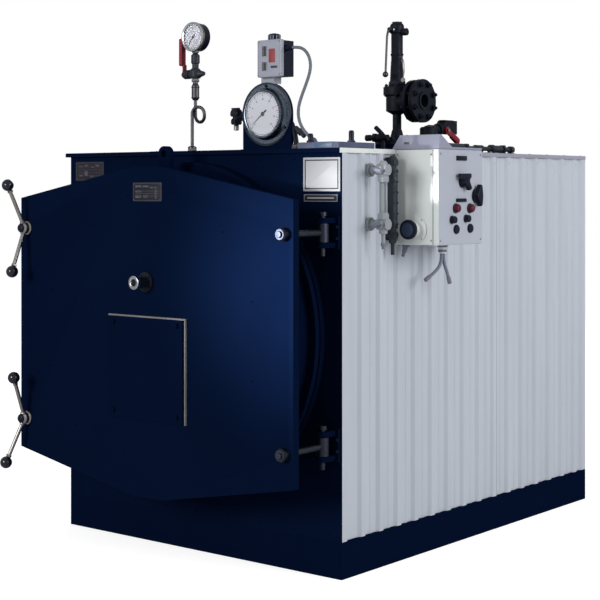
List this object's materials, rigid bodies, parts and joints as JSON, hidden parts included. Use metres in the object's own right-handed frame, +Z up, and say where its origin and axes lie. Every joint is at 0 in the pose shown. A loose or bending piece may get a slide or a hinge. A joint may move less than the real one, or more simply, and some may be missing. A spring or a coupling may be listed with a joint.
{
  "type": "horizontal fire-tube steam boiler with a hinged front door",
  "caption": "Horizontal steam boiler in a ribbed sheet casing, with a hinged round front door behind an octagonal cover, clamps, gauges, valves and a control cabinet.",
  "frame": {"origin": "on the floor under the middle of the casing, on the underside of the middle cross member", "axes": "+X to the right seen from the door, +Y from the door to the flue, +Z up"},
  "size_m": [1.622, 2.2204, 2.04],
  "materials": {
    "navy_paint": "semi-gloss",
    "frame_paint": "semi-gloss",
    "ribbed_sheet": "satin",
    "cabinet_paint": "satin",
    "lid_paint": "satin",
    "plain_steel": "machined",
    "boiler_plate": "mill finish",
    "refractory": "rough",
    "rope_seal": "woven",
    "black_plastic": "gloss",
    "black_iron": "painted",
    "chrome_fittings": "polished",
    "red_plastic": "gloss",
    "grey_plastic": "matte"
  },
  "bodies": {
    "root": {"base_side_rails": "frame_paint", "base_cross_rails": "frame_paint", "saddles": "boiler_plate", "side_panels_left": "ribbed_sheet", "side_panels_right": "ribbed_sheet", "front_panel": "navy_paint", "rear_panel": "ribbed_sheet", "top_panel": "navy_paint", "boiler_shell": "navy_paint", "front_tube_plate": "boiler_plate", "rear_tube_plate": "boiler_plate", "furnace_tube": "boiler_plate", "smoke_tubes": "boiler_plate", "flue_outlet": "boiler_plate", "hinge_brackets": "frame_paint", "hinge_pins": "plain_steel", "keeper_brackets": "frame_paint", "control_cabinet": "cabinet_paint", "cabinet_lid": "lid_paint", "cabinet_knobs": "black_plastic", "cabinet_lamps": "red_plastic", "isolator_switch": "black_plastic", "cable_hood": "cabinet_paint", "burner_lead_left": "black_plastic", "burner_lead_right": "black_plastic", "lead_plugs": "black_plastic", "glass_level_gauge": "chrome_fittings", "reflex_level_gauge": "black_iron", "siphon_pipe": "plain_steel", "gauge_cock": "black_iron", "small_gauge": "black_plastic", "gauge_pedestal": "navy_paint", "large_gauge": "black_plastic", "gauge_test_cock": "black_iron", "pressure_switch": "black_plastic", "switch_neck": "grey_plastic", "switch_cover": "grey_plastic", "switch_conduit": "black_plastic", "cable_duct": "cabinet_paint", "valve_nozzle": "navy_paint", "safety_valve_body": "black_iron", "safety_valve_bonnet": "black_iron", "vent_cock": "black_iron", "stop_valve_body": "black_iron", "top_pipe": "plain_steel"},
    "door": {"door_cover": "navy_paint", "door_drum": "navy_paint", "door_lining": "refractory", "door_seal": "rope_seal", "burner_plate": "navy_paint", "sight_tube": "black_iron", "sight_glass": "chrome_fittings", "hinge_bolts": "plain_steel"},
    "upper_clamp": {"clamp_handle_upper": "plain_steel", "clamp_balls_upper": "black_plastic"},
    "lower_clamp": {"clamp_handle_lower": "plain_steel", "clamp_balls_lower": "black_plastic"},
    "gauge_lever": {"gauge_cock_lever": "red_plastic"},
    "test_lever": {"safety_valve_lever": "plain_steel"},
    "stop_lever": {"stop_valve_lever": "red_plastic"}
  },
  "joints": [
    {"name": "door_hinge", "type": "hinge", "parent": "root", "child": "door", "pos_m": [0.648, -0.933, 0.837], "axis": [0, 0, 1], "range_deg": [0, 105]},
    {"name": "upper_clamp_turn", "type": "hinge", "parent": "door", "child": "upper_clamp", "pos_m": [-0.648, -1.14, 1.205], "axis": [0, -1, 0], "range_deg": [0, 90]},
    {"name": "lower_clamp_turn", "type": "hinge", "parent": "door", "child": "lower_clamp", "pos_m": [-0.648, -1.14, 0.467], "axis": [0, -1, 0], "range_deg": [0, 90]},
    {"name": "gauge_cock_turn", "type": "hinge", "parent": "root", "child": "gauge_lever", "pos_m": [-0.2224, -0.7, 1.807], "axis": [1, 0, 0], "range_deg": [0, 90]},
    {"name": "safety_valve_test", "type": "hinge", "parent": "root", "child": "test_lever", "pos_m": [0.303, -0.04, 2.004], "axis": [1, 0, 0], "range_deg": [-25, 0]},
    {"name": "stop_valve_turn", "type": "hinge", "parent": "root", "child": "stop_lever", "pos_m": [0.4204, 0.186, 1.598], "axis": [1, 0, 0], "range_deg": [0, 90]}
  ]
}
